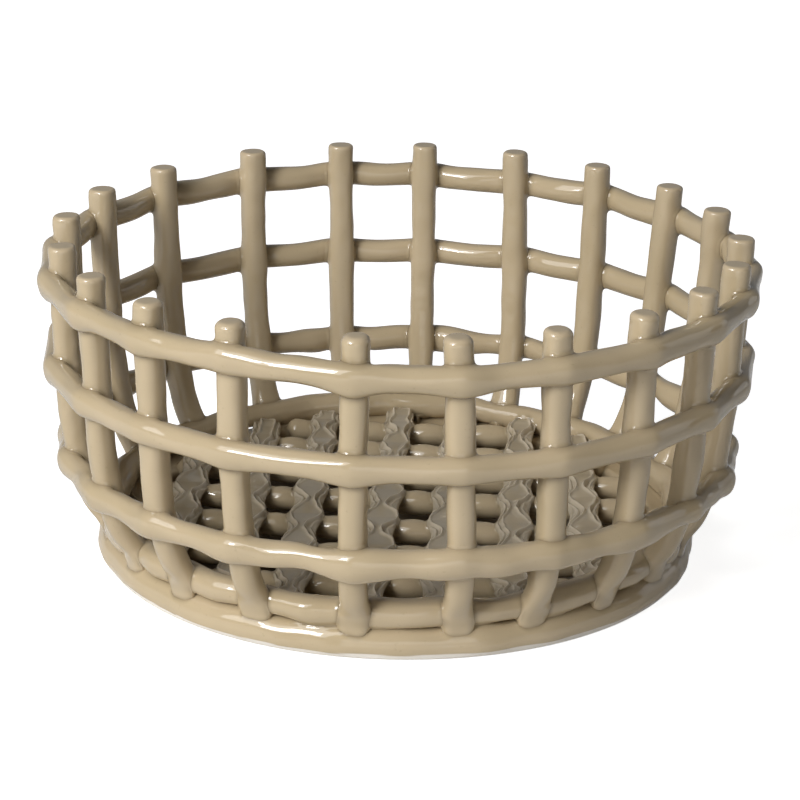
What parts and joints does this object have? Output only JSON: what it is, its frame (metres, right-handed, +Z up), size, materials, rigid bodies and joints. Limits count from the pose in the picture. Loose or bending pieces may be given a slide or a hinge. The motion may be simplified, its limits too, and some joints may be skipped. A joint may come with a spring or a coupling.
{
  "type": "ceramic basket bowl",
  "caption": "Round open-work glazed stoneware basket bowl: upright rods with pressed-on coil bands, a rolled foot ring and a woven coil floor.",
  "frame": {"origin": "middle of the foot, on the surface that the bowl stands on", "axes": "+Z up along the bowl's axis; -Y is the front that the picture shows, +X is to its right"},
  "size_m": [0.2283, 0.2277, 0.105],
  "materials": {
    "glaze": "high-gloss beige glaze, thin and warm on raised edges, darker where it pools"
  },
  "bodies": {
    "root": {"foot_ring": "glaze", "upright_01": "glaze", "upright_02": "glaze", "upright_03": "glaze", "upright_04": "glaze", "upright_05": "glaze", "upright_06": "glaze", "upright_07": "glaze", "upright_08": "glaze", "upright_09": "glaze", "upright_10": "glaze", "upright_11": "glaze", "upright_12": "glaze", "upright_13": "glaze", "upright_14": "glaze", "upright_15": "glaze", "upright_16": "glaze", "upright_17": "glaze", "upright_18": "glaze", "upright_19": "glaze", "upright_20": "glaze", "upright_21": "glaze", "base_coil": "glaze", "band_lower": "glaze", "band_middle": "glaze", "band_top": "glaze", "floor_coil_01": "glaze", "floor_coil_02": "glaze", "floor_coil_03": "glaze", "floor_coil_04": "glaze", "floor_coil_05": "glaze", "floor_coil_06": "glaze", "floor_coil_07": "glaze", "floor_strap_01": "glaze", "floor_strap_02": "glaze", "floor_strap_03": "glaze", "floor_strap_04": "glaze", "floor_strap_05": "glaze", "floor_strap_06": "glaze", "floor_strap_07": "glaze"}
  },
  "joints": []
}
